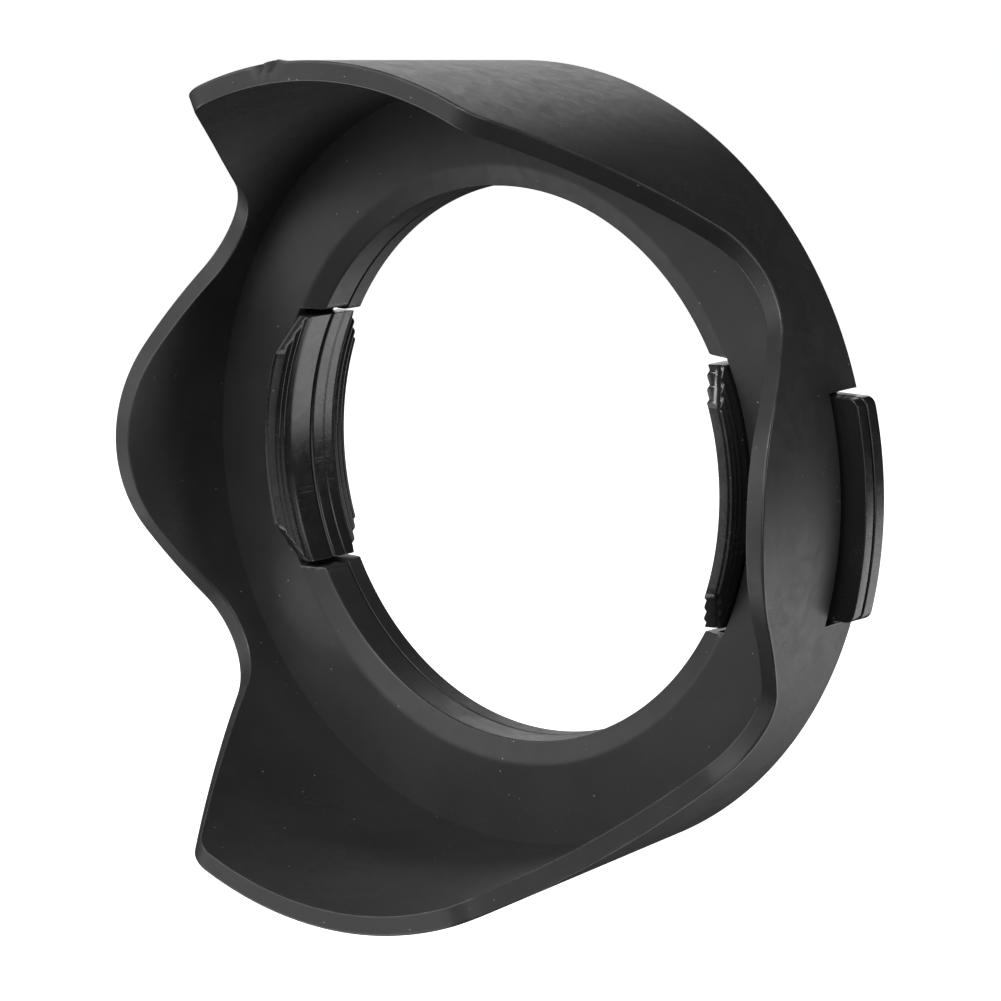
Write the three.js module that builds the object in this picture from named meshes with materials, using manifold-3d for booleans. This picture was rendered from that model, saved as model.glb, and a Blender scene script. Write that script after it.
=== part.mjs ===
// Petal-shaped lens hood that clips into the filter thread of a lens.
// Two spring-loaded clips, right and left, each carry a toothed jaw and a side button:
// squeezing the buttons draws the jaws in, letting go pushes their ribs out into the thread.
// Millimetres. +Y is the optical axis towards the camera, petals point to -Y, +Z is up.
// The origin is on the axis, in the rear face that seats on the front of the lens.
import * as THREE from "three";
import { mergeVertices } from "three/addons/utils/BufferGeometryUtils.js";
import Module from "manifold-3d";

const wasm = await Module();
wasm.setup();

// ---- driving dimensions ----
const RING_SEGMENTS = 108; // facets of every full turn
const FREE_GAP = 0.3; // kept between pieces that meet
const HOLE_CLEARANCE = 0.15; // round every screw, pin and screw head
const ROOT = 0.4; // how far ribs, posts and bosses are sunk into the wall they stand on
const PAST = 1; // how far a cutter runs past the face it cuts
const CHORD_X = 20; // a straight inner edge well inside the throat
const BORE_R = 33; // clear radius of the throat
const BORE_WALL = 1.4; // wall round the throat
const OUTER_R_AT_SEAT = 47.36; // outside radius at y = 0
const OUTER_FLARE = 0.0571; // growth of the radius for each millimetre forwards
const WALL = 2.35; // wall of the petals

const CREASE_Y = -6.3; // foot of the petals, where the annular floor starts
const FLOOR_INNER_R = 35.6; // the floor ends here in a light chamfer down to the bore
const FLOOR_INNER_Y = -6.7;
const BORE_FRONT_Y = -5.6;
const FLOOR_BACK_Y = -5.2; // inside face of the floor
const SEAM_Y = -1.5; // joint line between shell and cover inside the bore
const CAVITY_OUTER_R = 45.1; // inside of the outer wall, behind the floor
const REAR_CHAMFER = 0.3; // on the outer rear edge

// Rim outline unrolled on a circle of RIM_PITCH_R: corners as angle, y and blend radius
const RIM_PITCH_R = 48.5;
const SIDE_PETAL_TIP = { angle: 0, y: -26.6, blend: 20.6 };
const VALLEY = { angle: 34.1, y: -6.75, blend: 10.2 };
const BIG_PETAL_CORNER = { angle: 65.3, y: -38.75, blend: 4.6 };
const BIG_PETAL_MIDDLE = { angle: 90, y: -38.75, blend: 0 };

const COVER_Y = -1.0; // inside face of the rear cover
const COVER_R = 44.8;
const REGISTER_R = 35.3; // low ring that enters the filter thread
const REGISTER_HEIGHT = 1.15;

const JAW_INNER_R = 33.44;
const JAW_OUTER_R = 35.53;
const JAW_FRONT_Y = -9.7;
const JAW_REAR_Y = 3.2;
const JAW_HALF_WIDTH = 15.15;
const JAW_CORNER_RUN = 4.25; // bevelled corners of the jaw, front and rear
const JAW_CORNER_DEPTH = 2.4;
const TOOTH_COUNT = 3; // saw teeth across the jaw, next to its front and rear edges
const TOOTH_DEPTH = 0.42;
const TOOTH_LEAN = 0.3; // the valley lies this share of the pitch behind its crest
const FRONT_TOOTH_PITCH = 0.84;
const REAR_TOOTH_PITCH = 0.75; // pitch of the filter thread
const RIB_FIRST_Y = 1.55; // thread ribs outside, behind the cover
const RIB_HEIGHT = 0.42;
const RIB_COUNT = 2;

const SLOT_HALF_WIDTH = 15.95; // slot in shell and cover for the jaw
const SLOT_R = 35.85;
const TRAVEL = 2.0; // travel of each clip towards the axis

const CLIP_FRONT_Y = -4.9; // the clip is two plates, one behind the other
const CLIP_SPLIT_Y = -3.2;
const CLIP_REAR_Y = -1.25;
const CLIP_HALF_WIDTH = 24;
const CLIP_OUTER_R = 44.8;
const CLIP_THROAT_CLEARANCE = 0.5; // between the throat wall and the squeezed clip
const LINK_LENGTH = 3; // link between jaw and arms,
const LINK_ROOT = 0.6; // sunk this far into the jaw,
const LINK_INSET = 0.4; // and narrower than the jaw at each end

const BUTTON_R = 50.3;
const BUTTON_HALF_WIDTH = 12.8;
const BUTTON_CORNER = 1.6;
const BUTTON_ROOT = 4; // the button starts this far inside the edge of the arms
const NOTCH_HALF_WIDTH = 13.2; // notch in the outer wall for the button
const NOTCH_FRONT_Y = -6.0;
const NOTCH_LIP = 2.5; // the notch starts this far inside the outer wall

const SPRING_Z = 21.6; // the four springs lie along X, this far above and below the axis
const SPRING_R = 1.2;
const SPRING_WIRE_R = 0.2;
const SPRING_TURNS = 6;
const SPRING_SEAT_X = 29.0; // rib that the spring pushes from
const SPRING_EAR_X = 35.0; // ear of the clip that it pushes on
const SPRING_SEAT_HALF_WIDTH = 1.9;
const SPRING_SEAT_LENGTH = 5.2;
const SPRING_POCKET_HALF_WIDTH = 2.3;
const PIN_R = 0.6;
const PIN_START_X = 27.3;
const PIN_END_X = 32.5;

const COVER_SCREW_R = 40;
const COVER_SCREW_ANGLES = [60, 90, 120, 240, 270, 300];
const COVER_SCREW = { headR: 1.5, head: 0.75, shankR: 0.8, topY: -0.25, tipY: -4.5 };
const CLIP_SCREW = { headR: 1.3, head: 0.55, shankR: 0.6, topY: -1.4, tipY: -4.3 };
const CLIP_SCREW_X = 40;
const CLIP_SCREW_Z = 8;
const POST_R = 2.3; // posts on the floor take the screws,
const POST_TOP_Y = -2.5;
const BOSS_R = 2.6; // and bosses on the cover hold their heads
const BOSS_Y = -2.2;

// ---- solids ----

// A closed three.js geometry as a manifold-3d solid, with its faces turned outwards.
function solidFrom(geometry) {
  const bare = geometry.index ? geometry.toNonIndexed() : geometry.clone();
  bare.deleteAttribute("normal");
  bare.deleteAttribute("uv");
  const merged = mergeVertices(bare, 1e-4);
  const triVerts = new Uint32Array(merged.index.array);
  const vertProperties = new Float32Array(merged.attributes.position.array);
  const made = new wasm.Manifold(new wasm.Mesh({ numProp: 3, vertProperties, triVerts }));
  if (made.volume() > 0) return made;
  for (let i = 0; i < triVerts.length; i += 3) {
    [triVerts[i + 1], triVerts[i + 2]] = [triVerts[i + 2], triVerts[i + 1]];
  }
  return new wasm.Manifold(new wasm.Mesh({ numProp: 3, vertProperties, triVerts }));
}

function geometryFrom(solid) {
  const mesh = solid.getMesh();
  const geometry = new THREE.BufferGeometry();
  geometry.setAttribute("position", new THREE.BufferAttribute(mesh.vertProperties, 3));
  geometry.setIndex(new THREE.BufferAttribute(mesh.triVerts, 1));
  geometry.computeVertexNormals();
  return geometry;
}

const union = (solids) => solids.reduce((sum, next) => sum.add(next));

// A ring about the optical axis from a closed outline of [radius, y] points.
function ring(outline) {
  const points = [...outline, outline[0]].map(([r, y]) => new THREE.Vector2(r, y));
  return solidFrom(new THREE.LatheGeometry(points, RING_SEGMENTS));
}

// A flat outline in X and Z, thickened from yFront back to yRear.
function slab(shape, yFront, yRear, curveSegments = 24) {
  const depth = yRear - yFront;
  const geometry = new THREE.ExtrudeGeometry(shape, { depth, bevelEnabled: false, curveSegments });
  return solidFrom(geometry.rotateX(Math.PI / 2).translate(0, yRear, 0));
}

// A box between two values of x, of y and of z, each pair in either order.
function box(...ranges) {
  const size = ranges.map(([one, other]) => Math.abs(other - one));
  const middle = ranges.map(([one, other]) => (one + other) / 2);
  return solidFrom(new THREE.BoxGeometry(...size).translate(...middle));
}

// A round bar along Y at (x, z).
function bar(radius, yFront, yRear, x, z, sides = 14) {
  const geometry = new THREE.CylinderGeometry(radius, radius, yRear - yFront, sides);
  return solidFrom(geometry.translate(x, (yFront + yRear) / 2, z));
}

// ---- outlines ----

// The stretch of the rim outline near one corner: straight, or on the blend arc.
function cornerBlend(before, corner, after) {
  const inward = Math.atan2(corner.y - before.y, corner.s - before.s);
  const outward = Math.atan2(after.y - corner.y, after.s - corner.s);
  const turn = outward - inward;
  const tangent = corner.blend * Math.tan(Math.abs(turn) / 2);
  const side = Math.sign(turn);
  const startS = corner.s - tangent * Math.cos(inward);
  const startY = corner.y - tangent * Math.sin(inward);
  return {
    side,
    radius: corner.blend,
    startS,
    endS: corner.s + tangent * Math.cos(outward),
    centreS: startS - side * corner.blend * Math.sin(inward),
    centreY: startY + side * corner.blend * Math.cos(inward),
  };
}

const unrolled = ({ angle, y, blend }) => ({
  s: THREE.MathUtils.degToRad(angle) * RIM_PITCH_R,
  y,
  blend,
});
const mirroredValley = { ...VALLEY, angle: -VALLEY.angle };
const rimCorners = [
  mirroredValley,
  SIDE_PETAL_TIP,
  VALLEY,
  BIG_PETAL_CORNER,
  BIG_PETAL_MIDDLE,
].map(unrolled);
const rimBlends = [1, 2, 3].map((i) =>
  cornerBlend(rimCorners[i - 1], rimCorners[i], rimCorners[i + 1]),
);

// Height of the rim at an angle from +X; each quarter of the hood mirrors the next.
function rimY(angle) {
  const folded = Math.abs(Math.atan2(Math.abs(Math.sin(angle)), Math.abs(Math.cos(angle))));
  const s = folded * RIM_PITCH_R;
  const blend = rimBlends.find((b) => s >= b.startS && s <= b.endS);
  if (blend) {
    const rise = Math.sqrt(blend.radius ** 2 - (s - blend.centreS) ** 2);
    return blend.centreY - blend.side * rise;
  }
  const next = rimCorners.findIndex((corner) => corner.s > s);
  if (next < 0) return BIG_PETAL_MIDDLE.y;
  const from = rimCorners[next - 1];
  const to = rimCorners[next];
  return THREE.MathUtils.mapLinear(s, from.s, to.s, from.y, to.y);
}

const outerR = (y) => OUTER_R_AT_SEAT - OUTER_FLARE * y;

// Region of X and Z from a straight inner edge out to an arc about the axis.
function segment(innerX, reachR, halfWidth) {
  const angle = Math.asin(halfWidth / reachR);
  const shape = new THREE.Shape();
  shape.moveTo(innerX, halfWidth);
  shape.lineTo(innerX, -halfWidth);
  shape.absarc(0, 0, reachR, -angle, angle, false);
  shape.closePath();
  return shape;
}

// Side view of the jaw in Z and Y, its four corners bevelled.
function jawSideOutline() {
  const corners = [
    [JAW_HALF_WIDTH - JAW_CORNER_RUN, JAW_FRONT_Y],
    [JAW_HALF_WIDTH, JAW_FRONT_Y + JAW_CORNER_DEPTH],
    [JAW_HALF_WIDTH, JAW_REAR_Y - JAW_CORNER_DEPTH],
    [JAW_HALF_WIDTH - JAW_CORNER_RUN, JAW_REAR_Y],
  ];
  const mirrored = corners.map(([z, y]) => [-z, y]).reverse();
  return new THREE.Shape([...corners, ...mirrored].map((point) => new THREE.Vector2(...point)));
}

// ---- shell ----

// Cross-section of the shell at one angle, from the rim inwards and round to the back.
function shellSection(angle) {
  const y = rimY(angle);
  return [
    [outerR(y), y],
    [outerR(y) - WALL, y],
    [outerR(CREASE_Y) - WALL, CREASE_Y],
    [FLOOR_INNER_R, FLOOR_INNER_Y],
    [BORE_R, BORE_FRONT_Y],
    [BORE_R, SEAM_Y - FREE_GAP / 2],
    [BORE_R + BORE_WALL, SEAM_Y - FREE_GAP / 2],
    [BORE_R + BORE_WALL, FLOOR_BACK_Y],
    [CAVITY_OUTER_R, FLOOR_BACK_Y],
    [CAVITY_OUTER_R, 0],
    [outerR(0) - REAR_CHAMFER, 0],
    [outerR(0), -REAR_CHAMFER],
  ];
}

// The section carried round the axis, with the rim rising and falling as it goes.
function petalRing() {
  const positions = [];
  const index = [];
  const count = shellSection(0).length;
  for (let i = 0; i < RING_SEGMENTS; i += 1) {
    const angle = (i / RING_SEGMENTS) * 2 * Math.PI;
    for (const [r, y] of shellSection(angle)) {
      positions.push(r * Math.cos(angle), y, r * Math.sin(angle));
    }
  }
  for (let i = 0; i < RING_SEGMENTS; i += 1) {
    const here = i * count;
    const next = ((i + 1) % RING_SEGMENTS) * count;
    for (let j = 0; j < count; j += 1) {
      const k = (j + 1) % count;
      index.push(here + j, here + k, next + j, here + k, next + k, next + j);
    }
  }
  const geometry = new THREE.BufferGeometry();
  geometry.setAttribute("position", new THREE.Float32BufferAttribute(positions, 3));
  geometry.setIndex(index);
  return solidFrom(geometry);
}

// Slot for the right jaw through the bore wall and everything inside SLOT_R.
const jawSlot = () =>
  slab(
    segment(CHORD_X, SLOT_R, SLOT_HALF_WIDTH),
    FLOOR_INNER_Y - PAST,
    REGISTER_HEIGHT + PAST,
  );

// Notch for the right button; its front stretch cuts the outer wall and not the floor.
function buttonNotch() {
  const zRange = [-NOTCH_HALF_WIDTH, NOTCH_HALF_WIDTH];
  const outside = BUTTON_R + PAST;
  const throughWall = box([CAVITY_OUTER_R, outside], [NOTCH_FRONT_Y, PAST], zRange);
  const behindFloor = box([CAVITY_OUTER_R - NOTCH_LIP, outside], [FLOOR_BACK_Y, PAST], zRange);
  return throughWall.add(behindFloor);
}

// Rib behind the floor that the spring pushes from; the throat wall closes its inner end.
function springSeat(z) {
  const rib = box(
    [SPRING_SEAT_X - SPRING_SEAT_LENGTH, SPRING_SEAT_X],
    [FLOOR_BACK_Y - ROOT, SEAM_Y - FREE_GAP / 2],
    [z - SPRING_SEAT_HALF_WIDTH, z + SPRING_SEAT_HALF_WIDTH],
  );
  const throatR = BORE_R + BORE_WALL / 2;
  return rib.subtract(bar(throatR, FLOOR_BACK_Y - PAST, PAST, 0, 0, RING_SEGMENTS));
}

function alongX(radius, xStart, xEnd, z, sides = 16) {
  const geometry = new THREE.CylinderGeometry(radius, radius, xEnd - xStart, sides);
  return solidFrom(
    geometry.rotateZ(Math.PI / 2).translate((xStart + xEnd) / 2, CLIP_SPLIT_Y, z),
  );
}

const pinHole = (z) =>
  alongX(PIN_R + HOLE_CLEARANCE, PIN_START_X - HOLE_CLEARANCE, SPRING_SEAT_X + PAST, z);

function screwSpots() {
  return COVER_SCREW_ANGLES.map((degrees) => {
    const angle = THREE.MathUtils.degToRad(degrees);
    return [COVER_SCREW_R * Math.cos(angle), COVER_SCREW_R * Math.sin(angle)];
  });
}

// Blind hole for the shank of a screw, open at yRear.
const shankHole = ({ shankR, tipY }, yRear, x, z) =>
  bar(shankR + HOLE_CLEARANCE, tipY - HOLE_CLEARANCE, yRear, x, z);

// Sunk hole for the whole screw: its head on a floor, its shank on through.
function headRecess({ headR, head, shankR, topY }, yFront, yRear, x, z) {
  const floorY = topY - head - HOLE_CLEARANCE;
  const sunk = bar(headR + HOLE_CLEARANCE, floorY, yRear, x, z, 18);
  return sunk.add(bar(shankR + HOLE_CLEARANCE, yFront, yRear, x, z));
}

const turned = (solid) => solid.rotate([0, 180, 0]);
const onBothSides = (solid) => solid.add(turned(solid));

function petalShell() {
  const posts = screwSpots().map(([x, z]) => {
    const post = bar(POST_R, FLOOR_BACK_Y - ROOT, POST_TOP_Y, x, z);
    return post.subtract(shankHole(COVER_SCREW, POST_TOP_Y + PAST, x, z));
  });
  const seats = onBothSides(springSeat(SPRING_Z).add(springSeat(-SPRING_Z)));
  const holes = onBothSides(pinHole(SPRING_Z).add(pinHole(-SPRING_Z)));
  return union([petalRing(), ...posts, seats])
    .subtract(holes)
    .subtract(onBothSides(jawSlot()))
    .subtract(onBothSides(buttonNotch()));
}

// ---- rear cover ----

function rearCover() {
  const innerWallR = BORE_R + BORE_WALL;
  const body = ring([
    [BORE_R, SEAM_Y + FREE_GAP / 2],
    [BORE_R, REGISTER_HEIGHT],
    [REGISTER_R, REGISTER_HEIGHT],
    [REGISTER_R, 0],
    [COVER_R, 0],
    [COVER_R, COVER_Y],
    [innerWallR, COVER_Y],
    [innerWallR, SEAM_Y + FREE_GAP / 2],
  ]);
  const bosses = screwSpots().map(([x, z]) => bar(BOSS_R, BOSS_Y, COVER_Y + ROOT, x, z));
  const recesses = screwSpots().map(([x, z]) =>
    headRecess(COVER_SCREW, BOSS_Y - PAST, PAST, x, z),
  );
  return union([body, ...bosses])
    .subtract(union(recesses))
    .subtract(onBothSides(jawSlot()));
}

// ---- clips ----

// A triangular ring round the axis on the surface of radius baseR, from y = start to end,
// with its tip at tipR: a rib where the tip is outside the surface, or a groove cutter.
function vee(baseR, tipR, start, tipY, end) {
  const far = baseR + (baseR - tipR);
  return ring([
    [far, start],
    [baseR, start],
    [tipR, tipY],
    [baseR, end],
    [far, end],
  ]);
}

// Cutters for the saw teeth: crests lie at the edge and at every pitch from it (pitch < 0 at the rear).
function toothCutters(edgeY, pitch) {
  return Array.from({ length: TOOTH_COUNT }, (_, i) => {
    const crest = edgeY + i * pitch;
    return [crest, crest + TOOTH_LEAN * pitch, crest + pitch];
  });
}

// The whole toothed jaw, before the clip is split into its front and rear plates.
function jaw() {
  const body = ring([
    [JAW_INNER_R, JAW_FRONT_Y],
    [JAW_OUTER_R, JAW_FRONT_Y],
    [JAW_OUTER_R, JAW_REAR_Y],
    [JAW_INNER_R, JAW_REAR_Y],
  ]);
  const front = toothCutters(JAW_FRONT_Y, FRONT_TOOTH_PITCH);
  const rear = toothCutters(JAW_REAR_Y, -REAR_TOOTH_PITCH);
  const cutters = [
    ...[...front, ...rear].map((ys) => vee(JAW_INNER_R, JAW_INNER_R + TOOTH_DEPTH, ...ys)),
    ...front.map((ys) => vee(JAW_OUTER_R, JAW_OUTER_R - TOOTH_DEPTH, ...ys)),
  ];
  const ribs = Array.from({ length: RIB_COUNT }, (_, i) => {
    const y = RIB_FIRST_Y + i * REAR_TOOTH_PITCH;
    const half = REAR_TOOTH_PITCH / 2;
    return vee(JAW_OUTER_R, JAW_OUTER_R + RIB_HEIGHT, y - half, y, y + half);
  });
  const side = new THREE.ExtrudeGeometry(jawSideOutline(), {
    depth: JAW_OUTER_R,
    bevelEnabled: false,
  });
  const outline = solidFrom(side.rotateY(Math.PI / 2).translate(CHORD_X, 0, 0));
  return union([body, ...ribs]).subtract(union(cutters)).intersect(outline);
}

// The side button: an arc face with rounded corners, proud of the outer wall.
function buttonShape() {
  const shape = new THREE.Shape();
  const cornerX = Math.sqrt(BUTTON_R ** 2 - BUTTON_HALF_WIDTH ** 2);
  const arcAngle = Math.asin((BUTTON_HALF_WIDTH - BUTTON_CORNER) / BUTTON_R);
  shape.moveTo(CLIP_OUTER_R - BUTTON_ROOT, -BUTTON_HALF_WIDTH);
  shape.lineTo(cornerX - BUTTON_CORNER, -BUTTON_HALF_WIDTH);
  shape.quadraticCurveTo(
    cornerX,
    -BUTTON_HALF_WIDTH,
    BUTTON_R * Math.cos(arcAngle),
    -BUTTON_R * Math.sin(arcAngle),
  );
  shape.absarc(0, 0, BUTTON_R, -arcAngle, arcAngle, false);
  shape.quadraticCurveTo(
    cornerX,
    BUTTON_HALF_WIDTH,
    cornerX - BUTTON_CORNER,
    BUTTON_HALF_WIDTH,
  );
  shape.lineTo(CLIP_OUTER_R - BUTTON_ROOT, BUTTON_HALF_WIDTH);
  shape.closePath();
  return shape;
}

// The spring lies at the end of an arm, in a pocket open above (side 1) or below (side -1).
const springPocket = (side, yRange) =>
  box(
    [0, SPRING_EAR_X],
    yRange,
    [side * (SPRING_Z - SPRING_POCKET_HALF_WIDTH), side * (CLIP_HALF_WIDTH + PAST)],
  );

// One plate of the clip: link to the jaw, arms with spring ears, and its layer of the button.
function clipPlate(yFront, yRear) {
  const cutRange = [yFront - PAST, yRear + PAST];
  const clearR = BORE_R + BORE_WALL + CLIP_THROAT_CLEARANCE;
  const clearX = TRAVEL + FREE_GAP;
  const arms = slab(segment(CHORD_X, CLIP_OUTER_R, CLIP_HALF_WIDTH), yFront, yRear)
    .subtract(bar(clearR, ...cutRange, clearX, 0, RING_SEGMENTS))
    .subtract(springPocket(1, cutRange))
    .subtract(springPocket(-1, cutRange));
  const linkShape = segment(CHORD_X, JAW_OUTER_R + LINK_LENGTH, JAW_HALF_WIDTH - LINK_INSET);
  const link = slab(linkShape, yFront, yRear)
    .subtract(bar(JAW_OUTER_R - LINK_ROOT, ...cutRange, 0, 0, RING_SEGMENTS));
  return union([arms, link, slab(buttonShape(), yFront, yRear)]);
}

// Half of the jaw: the part of it in front of, or behind, one face of the split.
const jawWithin = (yFront, yRear) =>
  jaw().intersect(box([0, BUTTON_R], [yFront, yRear], [-CLIP_HALF_WIDTH, CLIP_HALF_WIDTH]));

const clipScrewZs = [CLIP_SCREW_Z, -CLIP_SCREW_Z];

function clipFront() {
  const rear = CLIP_SPLIT_Y - FREE_GAP / 2;
  const holes = clipScrewZs.map((z) => shankHole(CLIP_SCREW, rear + PAST, CLIP_SCREW_X, z));
  return clipPlate(CLIP_FRONT_Y, rear)
    .add(jawWithin(JAW_FRONT_Y - PAST, rear))
    .subtract(union(holes));
}

function clipRear() {
  const front = CLIP_SPLIT_Y + FREE_GAP / 2;
  const recesses = clipScrewZs.map((z) =>
    headRecess(CLIP_SCREW, front - PAST, CLIP_REAR_Y + PAST, CLIP_SCREW_X, z),
  );
  return clipPlate(front, CLIP_REAR_Y)
    .add(jawWithin(front, JAW_REAR_Y + PAST))
    .subtract(union(recesses));
}

// ---- springs, pins and screws ----

class Coil extends THREE.Curve {
  constructor(xStart, xEnd, z) {
    super();
    this.from = xStart;
    this.to = xEnd;
    this.z = z;
  }

  getPoint(t, target = new THREE.Vector3()) {
    const turn = t * SPRING_TURNS * 2 * Math.PI;
    return target.set(
      THREE.MathUtils.lerp(this.from, this.to, t),
      CLIP_SPLIT_Y + SPRING_R * Math.cos(turn),
      this.z + SPRING_R * Math.sin(turn),
    );
  }
}

function spring(z) {
  const wire = new THREE.Shape().absarc(0, 0, SPRING_WIRE_R, 0, 2 * Math.PI);
  const clearance = SPRING_WIRE_R + HOLE_CLEARANCE;
  const extrudePath = new Coil(SPRING_SEAT_X + clearance, SPRING_EAR_X - clearance, z);
  const geometry = new THREE.ExtrudeGeometry(wire, {
    steps: SPRING_TURNS * 10,
    curveSegments: 3,
    bevelEnabled: false,
    extrudePath,
  });
  return solidFrom(geometry);
}

function screw({ headR, head, shankR, topY, tipY }, x, z) {
  const neckY = topY - head;
  const shank = bar(shankR, tipY, neckY + 0.1, x, z, 12);
  return bar(headR, neckY, topY, x, z, 18).add(shank);
}

// ---- assembly ----

const hood = new THREE.Group();

const satinBlack = { color: 0x232323, roughness: 0.55, metalness: 0 };
const glossBlack = { color: 0x1b1b1b, roughness: 0.35, metalness: 0 };
const springSteel = { color: 0xa9abae, roughness: 0.3, metalness: 1 };
const darkScrewSteel = { color: 0x3a3b3d, roughness: 0.4, metalness: 1 };

function addPiece(parent, name, solid, finish) {
  const mesh = new THREE.Mesh(geometryFrom(solid), new THREE.MeshStandardMaterial(finish));
  mesh.name = name;
  parent.add(mesh);
}

addPiece(hood, "petal_shell", petalShell(), satinBlack);
addPiece(hood, "rear_cover", rearCover(), satinBlack);
screwSpots().forEach(([x, z], i) => {
  addPiece(hood, `cover_screw_${i + 1}`, screw(COVER_SCREW, x, z), darkScrewSteel);
});

// The left clip is the right one turned half round the optical axis.
for (const side of ["right", "left"]) {
  const clip = new THREE.Group();
  const flip = side === "left" ? -1 : 1;
  clip.rotation.y = side === "left" ? Math.PI : 0;
  hood.add(clip);
  addPiece(clip, `${side}_clip_front`, clipFront(), glossBlack);
  addPiece(clip, `${side}_clip_rear`, clipRear(), glossBlack);
  for (const [level, sign] of [["upper", flip], ["lower", -flip]]) {
    const pin = alongX(PIN_R, PIN_START_X, PIN_END_X, sign * SPRING_Z, 14);
    addPiece(clip, `${side}_spring_${level}`, spring(sign * SPRING_Z), springSteel);
    addPiece(clip, `${side}_spring_pin_${level}`, pin, springSteel);
    addPiece(
      clip,
      `${side}_clip_screw_${level}`,
      screw(CLIP_SCREW, CLIP_SCREW_X, sign * CLIP_SCREW_Z),
      darkScrewSteel,
    );
  }
}

export default hood;
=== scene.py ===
"""Looks of the clip-on petal lens hood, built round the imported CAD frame.

Shapes are worked out in millimetres and scaled to metres as each mesh is made.
+Y runs along the optical axis to the camera body, the petals point to -Y, and +Z is up.
"""
import math
import random

import bmesh
import bpy
import numpy as np
from mathutils import Matrix, Vector


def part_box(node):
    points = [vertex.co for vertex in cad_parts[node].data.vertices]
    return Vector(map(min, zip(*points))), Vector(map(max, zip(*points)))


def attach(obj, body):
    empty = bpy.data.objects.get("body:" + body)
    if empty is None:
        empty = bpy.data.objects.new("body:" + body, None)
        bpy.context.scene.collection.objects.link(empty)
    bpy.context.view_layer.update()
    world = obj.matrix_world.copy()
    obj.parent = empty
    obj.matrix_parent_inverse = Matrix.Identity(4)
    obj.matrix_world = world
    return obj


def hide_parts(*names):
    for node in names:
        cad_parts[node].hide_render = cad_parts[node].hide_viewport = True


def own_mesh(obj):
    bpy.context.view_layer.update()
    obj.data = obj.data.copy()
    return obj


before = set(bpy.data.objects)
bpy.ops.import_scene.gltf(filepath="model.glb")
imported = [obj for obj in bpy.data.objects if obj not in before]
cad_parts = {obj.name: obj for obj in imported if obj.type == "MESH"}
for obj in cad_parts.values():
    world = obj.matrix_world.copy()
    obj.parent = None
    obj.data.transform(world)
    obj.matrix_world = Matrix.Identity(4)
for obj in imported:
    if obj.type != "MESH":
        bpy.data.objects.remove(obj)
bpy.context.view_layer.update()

MM = 0.001


def box_mm(node):
    low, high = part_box(node)
    return low / MM, high / MM


# ---- sizes taken from the frame, in millimetres ----
SHELL_LOW = box_mm("petal_shell")[0]
COVER_HIGH = box_mm("rear_cover")[1]
CLIP_FRONT_LOW, CLIP_FRONT_HIGH = box_mm("right_clip_front")
CLIP_REAR_LOW, CLIP_REAR_HIGH = box_mm("right_clip_rear")
LONG_PETAL_Y = SHELL_LOW.y
COVER_R = COVER_HIGH.x
REGISTER_Y = COVER_HIGH.y
BUTTON_R = CLIP_FRONT_HIGH.x
JAW_FRONT_Y = CLIP_FRONT_LOW.y
JAW_REAR_Y = CLIP_REAR_HIGH.y
SPLIT_FRONT_Y = CLIP_FRONT_HIGH.y  # the two plates of a clip meet here,
SPLIT_REAR_Y = CLIP_REAR_LOW.y  # with a dark gap between them
CLIP_HALF_WIDTH = CLIP_FRONT_HIGH.z

# ---- sizes shared with the CAD source, in millimetres ----
BORE_R = 33.0
BORE_WALL = 1.4
OUTER_R_AT_SEAT = 47.36
OUTER_FLARE = 0.0571
WALL = 2.35
CREASE_Y = -6.3
FLOOR_INNER_R = 35.6
FLOOR_INNER_Y = -6.7
BORE_FRONT_Y = -5.6
FLOOR_BACK_Y = -5.2
SEAM_Y = -1.5
FREE_GAP = 0.3
CAVITY_OUTER_R = 45.1
RIM_PITCH_R = 48.5
SHORT_PETAL = (0.0, -26.6, 20.6)  # rim corners: angle in degrees, y, blend radius
VALLEY = (34.1, -6.75, 10.2)
LONG_PETAL_CORNER = (65.3, LONG_PETAL_Y, 4.6)
COVER_Y = -1.0
REGISTER_R = 35.3
JAW_INNER_R = 33.44
JAW_OUTER_R = 35.53
JAW_HALF_WIDTH = 15.15
JAW_CORNER_SLOPE = 2.4 / 4.25
TOOTH_DEPTH = 0.42
TOOTH_LEAN = 0.3
TOOTH_COUNT = 3
FRONT_TOOTH_PITCH = 0.84
REAR_TOOTH_PITCH = 0.75
RIB_FIRST_Y = 1.55
RIB_HEIGHT = 0.42
SLOT_HALF_WIDTH = 15.95
SLOT_R = 35.85
SLOT_INNER_X = 20.0
TRAVEL = 2.0
CLIP_FRONT_Y = -4.9
CLIP_REAR_Y = -1.25
CLIP_OUTER_R = 44.8
CLIP_CLEAR_R = BORE_R + BORE_WALL + 0.5
BUTTON_HALF_WIDTH = 12.7
BUTTON_CORNER = 1.6
NOTCH_HALF_WIDTH = 13.2
NOTCH_FRONT_Y = -6.0
NOTCH_INNER_X = CAVITY_OUTER_R - 2.5
SPRING_Z = 21.6
SPRING_SEAT_X = 29.0
SPRING_SEAT_LENGTH = 5.2
SPRING_SEAT_HALF_WIDTH = 1.9
SPRING_EAR_X = 35.0
SPRING_POCKET_HALF_WIDTH = 2.3
SPRING_WIRE_R = 0.2
SPRING_COIL_R = 1.2
PIN_HOLE_R = 0.75
PIN_END_GAP = 0.15
COVER_SCREW_R = 40.0  # the cover screws stand on this circle
COVER_SCREW_ANGLES = (60, 90, 120, 240, 270, 300)
COVER_SCREW_HOLE_R = 0.95
COVER_SCREW_HOLE_Y = -4.65
COVER_HEAD_HOLE_R = 1.65
COVER_HEAD_HOLE_Y = -1.15
COVER_BOSS_R = 2.6
COVER_BOSS_Y = -2.2
SHELL_POST_R = 2.3
SHELL_POST_Y = -2.5
CLIP_SCREW_X = 40.0
CLIP_SCREW_Z = 8.0
CLIP_SCREW_HOLE_R = 0.75
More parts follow.
